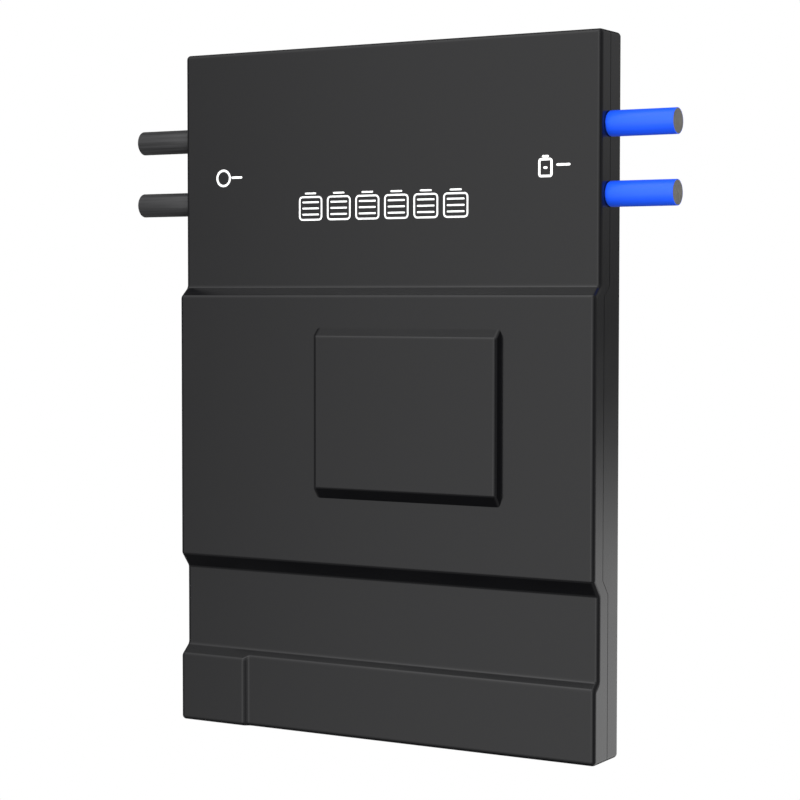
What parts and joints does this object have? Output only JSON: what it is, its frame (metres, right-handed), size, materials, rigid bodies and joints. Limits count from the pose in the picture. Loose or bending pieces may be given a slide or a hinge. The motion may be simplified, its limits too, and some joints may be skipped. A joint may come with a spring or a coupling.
{
  "type": "battery protection board",
  "caption": "Flat stepped plastic case with a raised square pad, holding a battery protection board; short power leads leave its two long sides.",
  "frame": {"origin": "middle of the case's rear face, on the surface that it lies on", "axes": "+Z out of the stepped front, +Y towards the lead end, +X towards the cell side leads"},
  "size_m": [0.1366, 0.1544, 0.0145],
  "materials": {
    "case_plastic": "fine moulded satin, black",
    "board_laminate": "green solder mask",
    "package_epoxy": "moulded, matt",
    "heat_pad": "soft, matt",
    "bare_aluminium": "milled",
    "tinned_copper": "tin dipped, satin",
    "shunt_alloy": "rolled alloy sheet",
    "chip_ceramic": "glazed ceramic",
    "socket_nylon": "moulded nylon",
    "pin_plating": "bright plated",
    "blue_insulation": "extruded, satin",
    "black_insulation": "extruded, satin",
    "screw_steel": "black zinc plated"
  },
  "bodies": {
    "root": {"front_cover": "case_plastic", "rear_shell": "case_plastic", "circuit_board": "board_laminate", "power_transistor_1": "package_epoxy", "power_transistor_2": "package_epoxy", "power_transistor_3": "package_epoxy", "power_transistor_4": "package_epoxy", "power_transistor_5": "package_epoxy", "power_transistor_6": "package_epoxy", "power_transistor_7": "package_epoxy", "power_transistor_8": "package_epoxy", "monitor_chip": "package_epoxy", "controller_chip": "package_epoxy", "transistor_pad": "heat_pad", "cover_pad": "heat_pad", "heat_spreader": "bare_aluminium", "smoothing_capacitor_1": "bare_aluminium", "smoothing_capacitor_2": "bare_aluminium", "load_strip": "tinned_copper", "cell_strip": "tinned_copper", "link_strip": "tinned_copper", "cell_core_1": "tinned_copper", "cell_core_2": "tinned_copper", "load_core_1": "tinned_copper", "load_core_2": "tinned_copper", "shunt_resistor_1": "shunt_alloy", "shunt_resistor_2": "shunt_alloy", "shunt_resistor_3": "shunt_alloy", "shunt_resistor_4": "shunt_alloy", "bleed_resistor_1": "chip_ceramic", "bleed_resistor_2": "chip_ceramic", "bleed_resistor_3": "chip_ceramic", "bleed_resistor_4": "chip_ceramic", "bleed_resistor_5": "chip_ceramic", "bleed_resistor_6": "chip_ceramic", "bleed_resistor_7": "chip_ceramic", "bleed_resistor_8": "chip_ceramic", "bleed_resistor_9": "chip_ceramic", "bleed_resistor_10": "chip_ceramic", "bleed_resistor_11": "chip_ceramic", "bleed_resistor_12": "chip_ceramic", "bleed_resistor_13": "chip_ceramic", "bleed_resistor_14": "chip_ceramic", "bleed_resistor_15": "chip_ceramic", "bleed_resistor_16": "chip_ceramic", "thermistor": "chip_ceramic", "sense_socket": "socket_nylon", "signal_socket": "socket_nylon", "sense_pins": "pin_plating", "signal_pins": "pin_plating", "cell_lead_1": "blue_insulation", "cell_lead_2": "blue_insulation", "load_lead_1": "black_insulation", "load_lead_2": "black_insulation", "case_screws": "screw_steel"}
  },
  "joints": []
}
